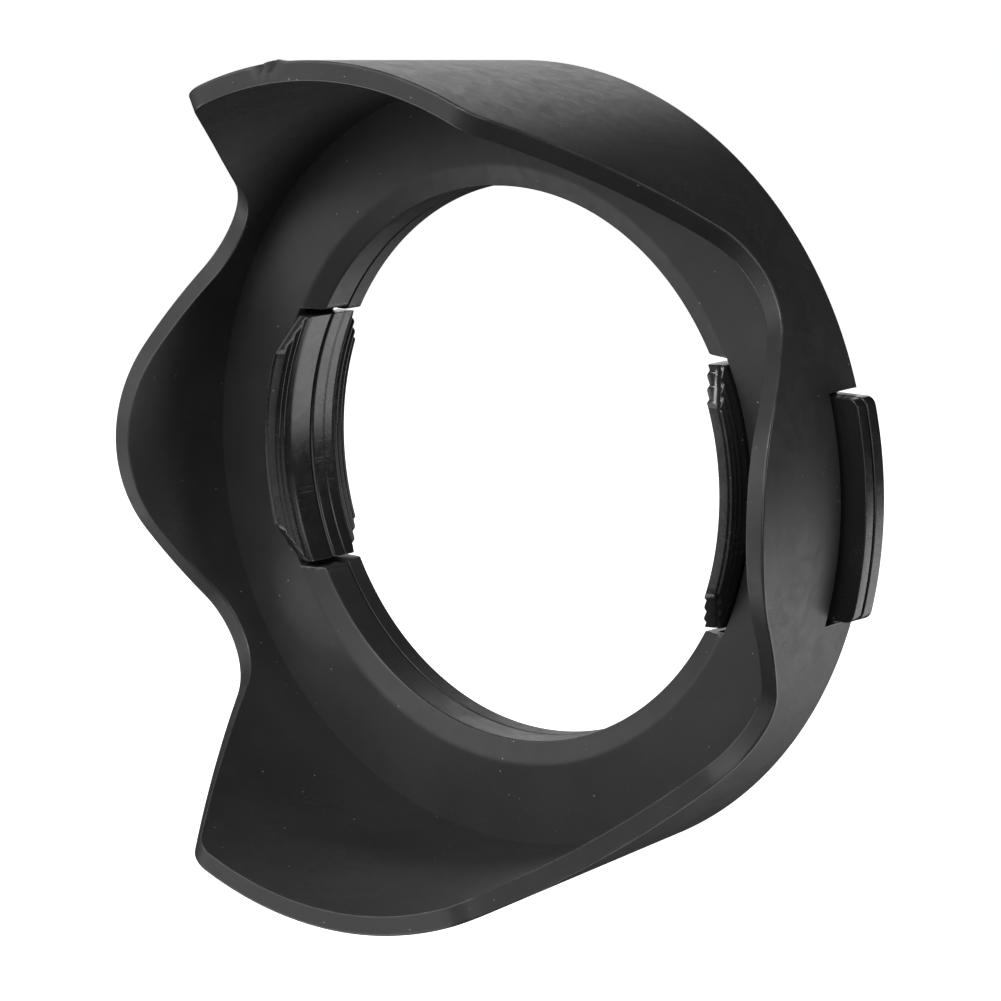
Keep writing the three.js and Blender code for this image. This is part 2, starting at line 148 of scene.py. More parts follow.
CLIP_SCREW_HOLE_Y = -4.45
CLIP_HEAD_HOLE_R = 1.45
CLIP_HEAD_HOLE_Y = -2.1

# ---- fineness and edge rounding of the shown meshes, in millimetres ----
COLUMNS = 720
RIM_EDGE_R = 0.28
SMALL_EDGE_R = 0.12
BUTTON_EDGE_R = 0.14
FLOOR_EDGE_R = 1.6
BORE_EDGE_R = 0.35
SLOT_CORNER_R = 0.8
COVER_SLOT_HALF_WIDTH = 15.55
SPRING_TURNS = 8  # the CAD coil has fewer
OVERLAP = 0.4  # how far the blocks of one moulding reach into each other
PAST = 1  # how far a cutter reaches past what it cuts

random.seed(7)


# ---- mesh helpers ----


def corner_arc(before, here, after, radius, steps):
    """The arc that rounds the corner here, with one support point beyond each end."""
    here, before, after = Vector(here), Vector(before), Vector(after)
    to_before, to_after = (before - here).normalized(), (after - here).normalized()
    half = to_before.angle(to_after) / 2
    reach = radius / math.tan(half)
    centre = here + (to_before + to_after).normalized() * (radius / math.sin(half))
    start, end = here + to_before * reach - centre, here + to_after * reach - centre
    turn = start.angle_signed(end)
    points = []
    for k in range(steps + 1):
        angle = -turn * k / steps
        c, s = math.cos(angle), math.sin(angle)
        points.append(centre + Vector((c * start.x - s * start.y, s * start.x + c * start.y)))
    support = radius * 0.5
    return [points[0] + to_before * support, *points, points[-1] + to_after * support]


def rounded_outline(corners, steps=5, closed=True):
    """Corners as (u, v, radius), each rounded by an arc, as a list of points."""
    points = []
    count = len(corners)
    for i, (u, v, radius) in enumerate(corners):
        at_end = not closed and i in (0, count - 1)
        if radius == 0 or at_end:
            points.append(Vector((u, v)))
            continue
        before, after = corners[i - 1][:2], corners[(i + 1) % count][:2]
        points += corner_arc(before, (u, v), after, radius, steps)
    return points


def object_from(name, vertices, faces):
    """A closed mesh object from millimetre vertices, welded, with its faces turned outwards."""
    mesh = bpy.data.meshes.new(name)
    mesh.from_pydata([tuple(c * MM for c in v) for v in vertices], [], faces)
    obj = bpy.data.objects.new(name, mesh)
    bpy.context.scene.collection.objects.link(obj)
    bm = bmesh.new()
    bm.from_mesh(mesh)
    bmesh.ops.remove_doubles(bm, verts=bm.verts, dist=0.002 * MM)
    bmesh.ops.dissolve_degenerate(bm, edges=bm.edges, dist=0.001 * MM)
    bmesh.ops.recalc_face_normals(bm, faces=bm.faces)
    bm.to_mesh(mesh)
    bm.free()
    return obj


def grid_faces(columns, rows, wrap_columns, wrap_rows):
    """Quads of a grid stored column by column."""
    faces = []
    for i in range(columns if wrap_columns else columns - 1):
        here, beside = i * rows, ((i + 1) % columns) * rows
        for j in range(rows if wrap_rows else rows - 1):
            k = (j + 1) % rows
            faces.append((here + j, here + k, beside + k, beside + j))
    return faces


def ring_object(name, section, angles):
    """A ring about the optical axis: section(angle) gives its outline of (r, y) points."""
    vertices = []
    rows = 0
    for angle in angles:
        outline = section(angle)
        rows = len(outline)
        vertices += [(r * math.cos(angle), y, r * math.sin(angle)) for r, y in outline]
    return object_from(name, vertices, grid_faces(len(angles), rows, True, True))


def layered_slab(name, outline, layers):
    """An outline of (x, z) points stacked in Y: layers are (y, inset) from front to rear."""
    count = len(outline)
    normals = []
    for i in range(count):
        along = (outline[(i + 1) % count] - outline[i - 1]).normalized()
        normals.append(Vector((along.y, -along.x)))
    vertices = []
    for y, inset in layers:
        for point, normal in zip(outline, normals):
            inner = point - normal * inset
            vertices.append((inner.x, y, inner.y))
    faces = grid_faces(len(layers), count, False, True)
    faces.append(tuple(range(count)))
    faces.append(tuple(reversed(range((len(layers) - 1) * count, len(layers) * count))))
    return object_from(name, vertices, faces)


def edge_layers(y_front, y_rear, front_r, rear_r, steps=4):
    """Layers of a slab whose front and rear edges are rounded."""
    layers = []
    for k in range(steps + 1):
        turn = k / steps * math.pi / 2
        layers.append((y_front + front_r * (1 - math.cos(turn)), front_r * (1 - math.sin(turn))))
    for k in range(steps, -1, -1):
        turn = k / steps * math.pi / 2
        layers.append((y_rear - rear_r * (1 - math.cos(turn)), rear_r * (1 - math.sin(turn))))
    return layers


def plain_slab(outline, y_front, y_rear):
    return layered_slab("cutter", outline, [(y_front, 0), (y_rear, 0)])


def rectangle(x0, x1, z0, z1):
    return [Vector(p) for p in ((x0, z0), (x1, z0), (x1, z1), (x0, z1))]


def circle(radius, x=0.0, z=0.0, count=48):
    turns = (2 * math.pi * i / count for i in range(count))
    return [Vector((x + radius * math.cos(t), z + radius * math.sin(t))) for t in turns]


def arc_points(radius, start, end, count, x=0.0):
    angles = np.linspace(start, end, count)
    return [Vector((x + radius * math.cos(t), radius * math.sin(t))) for t in angles]


def combine(target, others, operation):
    """Boolean of target with each of the others, which are used up."""
    for other in others:
        modifier = target.modifiers.new("boolean", "BOOLEAN")
        modifier.operation = operation
        modifier.solver = "MANIFOLD"
        modifier.object = other
        evaluated = target.evaluated_get(bpy.context.evaluated_depsgraph_get())
        mesh = bpy.data.meshes.new_from_object(evaluated)
        target.modifiers.clear()
        old = target.data
        target.data = mesh
        mesh.name = target.name
        bpy.data.meshes.remove(old)
        bpy.data.objects.remove(other)
    return target


def half_turn(obj):
    """The mesh turned half round the optical axis: the left side from the right."""
    obj.data.transform(Matrix.Rotation(math.pi, 4, "Y"))
    return obj


def twice(make):
    """What make() builds for the right side, and the same for the left."""
    return [make(), half_turn(make())]


def soften(obj, width, chosen, sharp_degrees=40):
    """Bevels the sharp edges that chosen(midpoint in mm) accepts."""
    bm = bmesh.new()
    bm.from_mesh(obj.data)
    edges = [
        e for e in bm.edges
        if len(e.link_faces) == 2
        and e.calc_face_angle(0) > math.radians(sharp_degrees)
        and chosen((e.verts[0].co + e.verts[1].co) / (2 * MM))
    ]
    bmesh.ops.bevel(
        bm, geom=edges, offset=width * MM, offset_type="OFFSET", segments=2,
        profile=0.5, affect="EDGES", clamp_overlap=False,
    )
    bm.to_mesh(obj.data)
    bm.free()
    return obj


def smooth(obj, sharp_degrees=38):
    """Smooth shading that keeps real edges, with long faces ruling the normals."""
    obj.data.polygons.foreach_set("use_smooth", [True] * len(obj.data.polygons))
    obj.data.set_sharp_from_angle(angle=math.radians(sharp_degrees))
    weighted = obj.modifiers.new("normals", "WEIGHTED_NORMAL")
    weighted.keep_sharp = True
    weighted.weight = 80
    return obj


# ---- the shell ----


def rim_table():
    """Arc length from the side and height of the rim over one quarter of the hood."""
    mirrored_valley, petal_middle = (-VALLEY[0], VALLEY[1], 0), (90.0, LONG_PETAL_Y, 0)
    corners = [mirrored_valley, SHORT_PETAL, VALLEY, LONG_PETAL_CORNER, petal_middle]
    unrolled = [(math.radians(a) * RIM_PITCH_R, y, blend) for a, y, blend in corners]
    points = rounded_outline(unrolled, steps=40, closed=False)
    return [p.x for p in points], [p.y for p in points]


RIM_S, RIM_Y = rim_table()


def rim_y(angle):
    folded = math.atan2(abs(math.sin(angle)), abs(math.cos(angle)))
    return float(np.interp(folded * RIM_PITCH_R, RIM_S, RIM_Y))


def outer_r(y):
    return OUTER_R_AT_SEAT - OUTER_FLARE * y


# A knock on the edge of the upper petal: degrees past its middle, burr and depth of the dent there.
NICK_ANGLE = 99.9
NICK_REACH = 2.2
NICK_WIDTH = 1.1
NICK_AT = (-3.1, -1.6, -0.1, 0.9, 1.6, 3.4)
NICK_BURR = (0.0, 0.36, 0.34, 0.2, 0.1, 0.0)
NICK_DENT = (0.0, 0.4, 1.6, 0.5, 1.3, 0.0)


def shell_section(angle):
    y = rim_y(angle)
    seam = SEAM_Y - FREE_GAP / 2
    room = CREASE_Y - y  # height of the wall inside, least at the valleys
    past_nick = math.degrees(angle) - NICK_ANGLE
    burr = float(np.interp(past_nick, NICK_AT, NICK_BURR))
    dent = float(np.interp(past_nick, NICK_AT, NICK_DENT))
    return rounded_outline([
        (outer_r(y + NICK_REACH), y + NICK_REACH, 0),
        (outer_r(y) + burr, y + dent, RIM_EDGE_R),
        (outer_r(y) - NICK_WIDTH, y, 0),
        (outer_r(y) - WALL, y, min(RIM_EDGE_R * 0.7, room * 0.25)),
        (outer_r(CREASE_Y) - WALL, CREASE_Y, 0),
        (FLOOR_INNER_R, FLOOR_INNER_Y, FLOOR_EDGE_R),
        (BORE_R, BORE_FRONT_Y, BORE_EDGE_R),
        (BORE_R, seam, SMALL_EDGE_R),
        (BORE_R + BORE_WALL, seam, 0),
        (BORE_R + BORE_WALL, FLOOR_BACK_Y, 0),
        (CAVITY_OUTER_R, FLOOR_BACK_Y, 0),
        (CAVITY_OUTER_R, 0, 0),
        (outer_r(0), 0, RIM_EDGE_R),
    ])


def screw_spots():
    angles = [math.radians(a) for a in COVER_SCREW_ANGLES]
    return [(COVER_SCREW_R * math.cos(a), COVER_SCREW_R * math.sin(a)) for a in angles]


def jaw_slot(half_width=SLOT_HALF_WIDTH):
    """Cutter for a slot in the bore wall, which leaves the wall with rounded corners."""
    x = math.sqrt(BORE_R ** 2 - half_width ** 2)
    along_bore = Vector((x - half_width / BORE_R, half_width + x / BORE_R))
    corner = corner_arc((x + 2, half_width), (x, half_width), along_bore, SLOT_CORNER_R, 4)[:-1]
    inside = [Vector((SLOT_INNER_X, corner[-1].y)), Vector((SLOT_INNER_X, -corner[-1].y))]
    mirrored = [Vector((p.x, -p.y)) for p in reversed(corner)]
    angle = math.asin(half_width / SLOT_R)
    outline = [*corner, *inside, *mirrored, *arc_points(SLOT_R, -angle, angle, 40)]
    return plain_slab(outline, FLOOR_INNER_Y - PAST, REGISTER_Y + PAST)


def notch(inner_x, front_y):
    """Cutter for the button's notch, from inner_x outwards and from front_y to the rear."""
    outline = rectangle(inner_x, BUTTON_R + PAST, -NOTCH_HALF_WIDTH, NOTCH_HALF_WIDTH)
    return plain_slab(outline, front_y, PAST)


def lay_along_x(bar, z):
    """Lays a bar made along Y along X instead, at height z and level with the plates' joint."""
    joint_y = (SPLIT_FRONT_Y + SPLIT_REAR_Y) / 2
    turn = Matrix(((0, 1, 0, 0), (1, 0, 0, joint_y * MM), (0, 0, 1, z * MM), (0, 0, 0, 1)))
    bar.data.transform(turn)
    bar.data.flip_normals()
    return bar


def spring_seat(side):
    """The rib that a spring rests on, with the hole that holds its guide pin."""
    half, z = SPRING_SEAT_HALF_WIDTH, side * SPRING_Z
    outline = rectangle(SPRING_SEAT_X - SPRING_SEAT_LENGTH, SPRING_SEAT_X, z - half, z + half)
    seat = plain_slab(outline, FLOOR_BACK_Y - OVERLAP, SEAM_Y - FREE_GAP / 2)
    throat_outline = circle(BORE_R + BORE_WALL / 2, count=COLUMNS // 2)
    throat = plain_slab(throat_outline, FLOOR_BACK_Y - PAST, PAST)
    pin_low = box_mm("right_spring_pin_upper")[0]
    hole_outline = circle(PIN_HOLE_R, count=20)
    hole = plain_slab(hole_outline, pin_low.x - PIN_END_GAP, SPRING_SEAT_X + PAST)
    return combine(seat, [throat, lay_along_x(hole, z)], "DIFFERENCE")


def screw_post(x, z):
    """A post of the shell, with the hole that takes a cover screw."""
    post = plain_slab(circle(SHELL_POST_R, x, z), FLOOR_BACK_Y - OVERLAP, SHELL_POST_Y)
    hole = plain_slab(circle(COVER_SCREW_HOLE_R, x, z, 24), COVER_SCREW_HOLE_Y, 0)
    return combine(post, [hole], "DIFFERENCE")


def petal_shell():
    angles = [2 * math.pi * i / COLUMNS for i in range(COLUMNS)]
    shell = ring_object("petal_shell_moulding", shell_section, angles)
    inside = [screw_post(x, z) for x, z in screw_spots()]
    inside += [seat for side in (1, -1) for seat in twice(lambda side=side: spring_seat(side))]
    combine(shell, inside, "UNION")
    cutters = twice(jaw_slot)
    cutters += twice(lambda: notch(CAVITY_OUTER_R, NOTCH_FRONT_Y))
    cutters += twice(lambda: notch(NOTCH_INNER_X, FLOOR_BACK_Y))
    combine(shell, cutters, "DIFFERENCE")

    def on_cut(p):
        """Where the slots meet the front of the floor, and where the notches meet the wall."""
        r = math.hypot(p.x, p.z)
        at_slot = r < SLOT_R + 0.2 and abs(p.z) < SLOT_HALF_WIDTH + 0.1 and abs(p.x) > SLOT_INNER_X
        at_notch = r > CAVITY_OUTER_R + 0.3 and abs(p.z) < NOTCH_HALF_WIDTH + 0.1 and p.y < -0.5
        return (at_slot and p.y < -5) or at_notch

    return soften(shell, SMALL_EDGE_R, on_cut)


# ---- the rear cover ----


# The groove in the rear face of the cover: r, y and blend radius.
COVER_GROOVE = (
    (37.2, 0, SMALL_EDGE_R),
    (37.35, -0.22, SMALL_EDGE_R * 0.6),
    (37.75, -0.22, SMALL_EDGE_R * 0.6),
    (37.9, 0, SMALL_EDGE_R),
)


def cover_section(_angle):
    seam = SEAM_Y + FREE_GAP / 2
    return rounded_outline([
        (BORE_R, seam, SMALL_EDGE_R),
        (BORE_R, REGISTER_Y, SMALL_EDGE_R * 2),
        (REGISTER_R, REGISTER_Y, SMALL_EDGE_R * 2),
        (REGISTER_R, 0, SMALL_EDGE_R),
        *COVER_GROOVE,
        (COVER_R, 0, SMALL_EDGE_R * 2),
        (COVER_R, COVER_Y, 0),
        (BORE_R + BORE_WALL, COVER_Y, 0),
        (BORE_R + BORE_WALL, seam, 0),
    ])


def rear_cover():
    angles = [2 * math.pi * i / COLUMNS for i in range(COLUMNS)]
    cover = ring_object("rear_cover_moulding", cover_section, angles)
    bosses = []
    for x, z in screw_spots():
        bosses.append(plain_slab(circle(COVER_BOSS_R, x, z), COVER_BOSS_Y, COVER_Y + OVERLAP))
    combine(cover, bosses, "UNION")
    cutters = twice(lambda: jaw_slot(COVER_SLOT_HALF_WIDTH))
    for x, z in screw_spots():
        cutters.append(plain_slab(circle(COVER_HEAD_HOLE_R, x, z), COVER_HEAD_HOLE_Y, PAST))
        cutters.append(plain_slab(circle(COVER_SCREW_HOLE_R, x, z, 24), -3, PAST))
    combine(cover, cutters, "DIFFERENCE")

    def on_cut(p):
        """Where the screw holes and the slots meet the flat rear face."""
        return abs(p.y) < 0.05 and math.hypot(p.x, p.z) > REGISTER_R + 0.1

    return soften(cover, SMALL_EDGE_R, on_cut)


# ---- the clips ----

CREST_ROUNDING = 0.1  # the saw teeth's crests and valleys are rounded over this much of y
SHOULDER_WIDTH = 0.6  # the smooth band starts with a rounded shoulder
SHOULDER_DEPTH = 0.14
BAND_LINE_Y = -0.9  # a fine line runs along the smooth band
BAND_LINE_HALF_WIDTH = 0.16
BAND_LINE_DEPTH = 0.09
SEAM_EDGE_R = 0.45  # rounded front edge of the rear plate's share of the jaw
CORNER_Z_INNER = 11.15  # the jaw's front and rear faces end here at its inside,
CORNER_Z_OUTER = 10.35  # and here at its outside
LIP_GROOVE = ((34.75, 0.0), (34.92, 0.22), (35.12, 0.0))  # groove in the front face: r, depth


def saw_depth(y, edge_y, pitch):
    """Depth of the saw teeth at y; crests lie at edge_y and at every pitch from it."""
    along = (y - edge_y) / pitch
    if along > TOOTH_COUNT:
        past = (along - TOOTH_COUNT) * abs(pitch) / SHOULDER_WIDTH
        return SHOULDER_DEPTH * max(0.0, 1 - past) ** 2
    share = along % 1.0
    crest = SHOULDER_DEPTH * max(0.0, along - TOOTH_COUNT + 1)
    if share < TOOTH_LEAN:
        return TOOTH_DEPTH * share / TOOTH_LEAN
    rise = (1 - share) / (1 - TOOTH_LEAN)
    return crest + (TOOTH_DEPTH - crest) * rise


def rib_height(y):
    """Height of the thread ribs outside the rear of the jaw."""
    along = (y - RIB_FIRST_Y) / REAR_TOOTH_PITCH
    if along < -0.5 or along > 1.5:
        return 0.0
    return RIB_HEIGHT * max(0.0, 1 - 2 * abs(along - round(along)))


def averaged(function, y, reach=CREST_ROUNDING):
    """The function with its corners rounded over a reach of y."""
    return sum(function(y + reach * k / 4) for k in range(-4, 5)) / 9


def groove(distance, half_width, depth):
    return depth * max(0.0, 1 - abs(distance) / half_width)


def inner_depth(y):
    front = saw_depth(y, JAW_FRONT_Y, FRONT_TOOTH_PITCH)
    rear = saw_depth(y, JAW_REAR_Y, -REAR_TOOTH_PITCH)
    return max(front, rear, groove(y - BAND_LINE_Y, BAND_LINE_HALF_WIDTH, BAND_LINE_DEPTH))


def outer_depth(y):
    return saw_depth(y, JAW_FRONT_Y, FRONT_TOOTH_PITCH) - rib_height(y)


def rounding(distance, radius):
    """How far a surface falls back at this distance from a rounded edge."""
    if distance >= radius:
        return 0.0
    return radius - math.sqrt(max(0.0, radius ** 2 - (radius - max(distance, 0.0)) ** 2))


def corner_z(r):
    share = (r - JAW_INNER_R) / (JAW_OUTER_R - JAW_INNER_R)
    return CORNER_Z_INNER + (CORNER_Z_OUTER - CORNER_Z_INNER) * share


def corner_cut(r, z):
    """How far the bevelled corners cut the jaw back at radius r and height z."""
    return JAW_CORNER_SLOPE * max(0.0, abs(z) - corner_z(r))


def jaw_columns():
    """Values of z across the jaw, closer together at its bevelled corners."""
    flat_to = 10  # the bevels start just beyond this
    middle = np.linspace(0, flat_to, 41)
    corner = np.linspace(flat_to, JAW_HALF_WIDTH - 0.15, 100)[1:]
    half = [*middle, *corner]
    return [-z for z in reversed(half)][:-1] + half


def jaw_section(z, y_front, y_rear, ys, inset):
    """Outline of (r, y) at height z, between two faces that the corner bevels cut back."""
    front_cut = y_front == JAW_FRONT_Y
    rear_cut = y_rear == JAW_REAR_Y
    front_r = SMALL_EDGE_R if front_cut else SEAM_EDGE_R

    def front_at(r):
        return y_front + (corner_cut(r, z) if front_cut else 0.0) + inset

    def rear_at(r):
        return y_rear - (corner_cut(r, z) if rear_cut else 0.0) - inset

    def along(base_r, depth, outward):
        low, high = front_at(base_r), rear_at(base_r)
        points = []
        for y in ys:
            y = min(max(y, low), high)
            back = averaged(depth, y) + inset
            back += rounding(y - low, front_r) + rounding(high - y, SMALL_EDGE_R * 1.5)
            points.append((base_r - outward * back, y))
        return points

    inner = along(JAW_INNER_R, inner_depth, -1)
    outer = along(JAW_OUTER_R, outer_depth, 1)
    lip = [(r, front_at(r) + (depth if front_cut else 0.0)) for r, depth in LIP_GROOVE]
    return inner + list(reversed(outer)) + list(reversed(lip))


def jaw_rows(y_front, y_rear):
    """Values of y along the jaw, fine at its teeth, ribs and edges."""
    fine, coarse = 0.04, 0.45
    edges = [y_front + d for d in (0, 0.015, 0.04, 0.08, 0.13, 0.2, 0.3, 0.45)]
    edges += [y_rear - d for d in (0, 0.015, 0.04, 0.08, 0.12, 0.18, 0.26)]
    front_end = JAW_FRONT_Y + TOOTH_COUNT * FRONT_TOOTH_PITCH + SHOULDER_WIDTH
    rear_end = JAW_REAR_Y - TOOTH_COUNT * REAR_TOOTH_PITCH - SHOULDER_WIDTH
    teeth = [*np.arange(JAW_FRONT_Y, front_end, fine), *np.arange(JAW_REAR_Y, rear_end, -fine)]
    band = [*np.arange(-6.9, 1.0, coarse)]
    band += [*np.arange(BAND_LINE_Y - 0.3, BAND_LINE_Y + 0.31, 0.05)]
    inside = [y for y in teeth + band if y_front + 0.03 < y < y_rear - 0.03]
    return sorted(set(round(y, 4) for y in edges + inside))


def jaw_block(name, y_front, y_rear):
    """One plate's share of the toothed jaw, as a closed mesh."""
    ys = jaw_rows(y_front, y_rear)
    sections = []
    for z in jaw_columns():
        sections.append((z, jaw_section(z, y_front, y_rear, ys, 0.0)))
    for sign in (-1, 1):
        for turn in (math.pi / 6, math.pi / 3, math.pi / 2):
            inset, reach = SMALL_EDGE_R * (1 - math.cos(turn)), SMALL_EDGE_R * math.sin(turn)
            z = sign * (JAW_HALF_WIDTH - SMALL_EDGE_R + reach)
            item = (z, jaw_section(z, y_front, y_rear, ys, inset))
            if sign < 0:
                sections.insert(0, item)
            else:
                sections.append(item)
    vertices = []
    for z, outline in sections:
        vertices += [(math.sqrt(r * r - z * z), y, z) for r, y in outline]
    rows = len(sections[0][1])
    faces = grid_faces(len(sections), rows, False, True)
    faces.append(tuple(range(rows)))
    last = (len(sections) - 1) * rows
    faces.append(tuple(reversed(range(last, last + rows))))
    return object_from(name, vertices, faces)


def arms_outline():
    """The plate behind the floor: two arms round the throat, each ending in a spring ear."""
    outer_angle = math.asin(CLIP_HALF_WIDTH / CLIP_OUTER_R)
    pocket_z = SPRING_Z - SPRING_POCKET_HALF_WIDTH
    clear_x = TRAVEL + FREE_GAP
    inner_angle = math.asin(pocket_z / CLIP_CLEAR_R)
    points = arc_points(CLIP_OUTER_R, -outer_angle, outer_angle, 60)
    points += [Vector((SPRING_EAR_X, CLIP_HALF_WIDTH)), Vector((SPRING_EAR_X, pocket_z))]
    points += arc_points(CLIP_CLEAR_R, inner_angle, -inner_angle, 60, clear_x)
    points += [Vector((SPRING_EAR_X, -pocket_z)), Vector((SPRING_EAR_X, -CLIP_HALF_WIDTH))]
    return points


def link_outline():
    """The web that joins the jaw to the plate's arms."""
    half = JAW_HALF_WIDTH - 0.4
    outer = JAW_OUTER_R + 3
    inner = JAW_OUTER_R - 0.6
    a, b = math.asin(half / outer), math.asin(half / inner)
    return arc_points(outer, -a, a, 40) + arc_points(inner, b, -b, 40)


def button_outline():
    """Outline of the button in X and Z, its two outer corners rounded."""
    corner_x = math.sqrt(BUTTON_R ** 2 - BUTTON_HALF_WIDTH ** 2)
    inner_x = CLIP_OUTER_R - 4
    w = BUTTON_HALF_WIDTH
    arc_end = math.asin((w - BUTTON_CORNER) / BUTTON_R)
    on_arc = (BUTTON_R * math.cos(arc_end), -BUTTON_R * math.sin(arc_end))
    lower = corner_arc((inner_x, -w), (corner_x, -w), on_arc, BUTTON_CORNER * 0.8, 8)
    upper = [Vector((p.x, -p.y)) for p in reversed(lower)]
    inner_arc = math.atan2(-lower[-1].y, lower[-1].x)
    short_of_corner = 0.985
    arc = arc_points(BUTTON_R, -inner_arc * short_of_corner, inner_arc * short_of_corner, 60)
    return [Vector((inner_x, -w)), *lower, *arc, *upper, Vector((inner_x, w))]


def clip_plate(name, y_front, y_rear, jaw_front, jaw_rear, front_r, rear_r):
    """A plate of a clip: button, arms, web and jaw in one, between its front and rear faces."""
    clip = layered_slab(name, button_outline(), edge_layers(y_front, y_rear, front_r, rear_r))
    thin = 0.02  # keeps the flat faces of the blocks from lying in one plane
    parts = [
        plain_slab(arms_outline(), y_front + thin, y_rear - thin),
        plain_slab(link_outline(), y_front + 2 * thin, y_rear - 2 * thin),
        jaw_block("jaw", jaw_front, jaw_rear),
    ]
    return combine(clip, parts, "UNION")


def clip_hole(radius, side, count, front_y):
    """Cutter for a clip screw's hole, from front_y to the rear."""
    return plain_slab(circle(radius, CLIP_SCREW_X, side * CLIP_SCREW_Z, count), front_y, 0)


def clip_front():
    clip = clip_plate(
        "clip_front_moulding", CLIP_FRONT_Y, SPLIT_FRONT_Y, JAW_FRONT_Y, SPLIT_FRONT_Y,
        BUTTON_EDGE_R, SMALL_EDGE_R * 1.5,
    )
    holes = [clip_hole(CLIP_SCREW_HOLE_R, side, 24, CLIP_SCREW_HOLE_Y) for side in (1, -1)]
    return combine(clip, holes, "DIFFERENCE")


def clip_rear():
    clip = clip_plate(
        "clip_rear_moulding", SPLIT_REAR_Y, CLIP_REAR_Y, SPLIT_REAR_Y, JAW_REAR_Y,
        SMALL_EDGE_R * 1.5, BUTTON_EDGE_R,
    )
    holes = []
    for side in (1, -1):
        holes.append(clip_hole(CLIP_SCREW_HOLE_R, side, 24, -4))
        holes.append(clip_hole(CLIP_HEAD_HOLE_R, side, 32, CLIP_HEAD_HOLE_Y))
    return combine(clip, holes, "DIFFERENCE")


# ---- screws, springs and pins ----


def lathe_y(name, profile, x, z, count=40):
    """A turned piece about a line along Y, from (radius, y) points that start and end at 0."""
    vertices = []
    for i in range(count):
        t = 2 * math.pi * i / count
        vertices += [(x + r * math.cos(t), y, z + r * math.sin(t)) for r, y in profile]
    return object_from(name, vertices, grid_faces(count, len(profile), True, False))


def cross_recess(x, z, size, y_top, depth, angle):
    """Cutter for a cross recess: two tapered blades."""
    blades = []
    for quarter in (0, math.pi / 2):
        outline = rectangle(-size, size, -size * 0.17, size * 0.17)
        blade = plain_slab(outline, y_top - depth, y_top + 0.5)
        for v in blade.data.vertices:
            if v.co.y < (y_top - 0.5 * depth) * MM:
                v.co.x *= 0.45
        blade.data.transform(Matrix.Rotation(angle + quarter, 4, "Y"))
        blade.data.transform(Matrix.Translation((x * MM, 0, z * MM)))
        blades.append(blade)
    return blades


def screw(name, node, head_r, head, shank_r, angle):
    """A domed cross-head screw, threaded down to its tip, where the CAD screw stands."""
    low, high = box_mm(node)
    x, z = (low.x + high.x) / 2, (low.z + high.z) / 2
    top, tip = high.y, low.y
    neck = top - head
    profile = [(0, top)]
    profile += [(head_r * s, top - head * 0.25 * s * s) for s in (0.3, 0.6, 0.8, 0.92)]
    profile += [(head_r, top - head * 0.42), (head_r, neck + 0.05)]
    profile += [(head_r - 0.05, neck), (shank_r, neck)]
    pitch = 0.35
    y = neck - 0.25
    while y - pitch > tip + 0.4:
        profile += [(shank_r, y), (shank_r * 0.86, y - pitch / 2)]
        y -= pitch
    profile += [(shank_r * 0.9, tip + 0.35), (shank_r * 0.45, tip), (0, tip)]
    made = lathe_y(name, profile, x, z)
    return combine(made, cross_recess(x, z, head_r * 0.62, top, head * 0.62, angle), "DIFFERENCE")


def spring(name, node):
    """A coil spring of round wire with closed ends, where the CAD coil lies."""
    low, high = box_mm(node)
    z = (low.z + high.z) / 2
    y = (SPLIT_FRONT_Y + SPLIT_REAR_Y) / 2
    wire, coil_r, turns = SPRING_WIRE_R, SPRING_COIL_R, SPRING_TURNS
    per_turn, sides = 36, 10
    closed = 0.42  # pitch of the first and the last turn
    length = high.x - low.x - 2 * wire
    count = turns * per_turn
    centres = []
    for i in range(count + 1):
        t = i / count * turns
        if t < 1:
            along = closed * t
        elif t > turns - 1:
            along = length - closed * (turns - t)
        else:
            along = closed + (length - 2 * closed) * (t - 1) / (turns - 2)
        angle = t * 2 * math.pi
        in_plane = (y + coil_r * math.cos(angle), z + coil_r * math.sin(angle))
        centres.append(Vector((low.x + wire + along, *in_plane)))
    vertices = []
    for i, centre in enumerate(centres):
        ahead = centres[min(i + 1, count)] - centres[max(i - 1, 0)]
        ahead.normalize()
        outward = Vector((0, centre.y - y, centre.z - z)).normalized()
        side = ahead.cross(outward).normalized()
        outward = side.cross(ahead)
        for k in range(sides):
            t = 2 * math.pi * k / sides
            vertices.append(centre + outward * (wire * math.cos(t)) + side * (wire * math.sin(t)))
    faces = grid_faces(count + 1, sides, False, True)
    faces.append(tuple(range(sides)))
    faces.append(tuple(reversed(range(count * sides, (count + 1) * sides))))
    return object_from(name, vertices, faces)


def pin(name, node):
    """A guide pin with rounded ends, lying along X."""
    low, high = box_mm(node)
    radius = (high.z - low.z) / 2
    layers = edge_layers(low.x, high.x, 0.12, 0.25)
    bar = layered_slab(name, circle(radius, count=28), layers)
    return lay_along_x(bar, (low.z + high.z) / 2)


# ---- materials ----


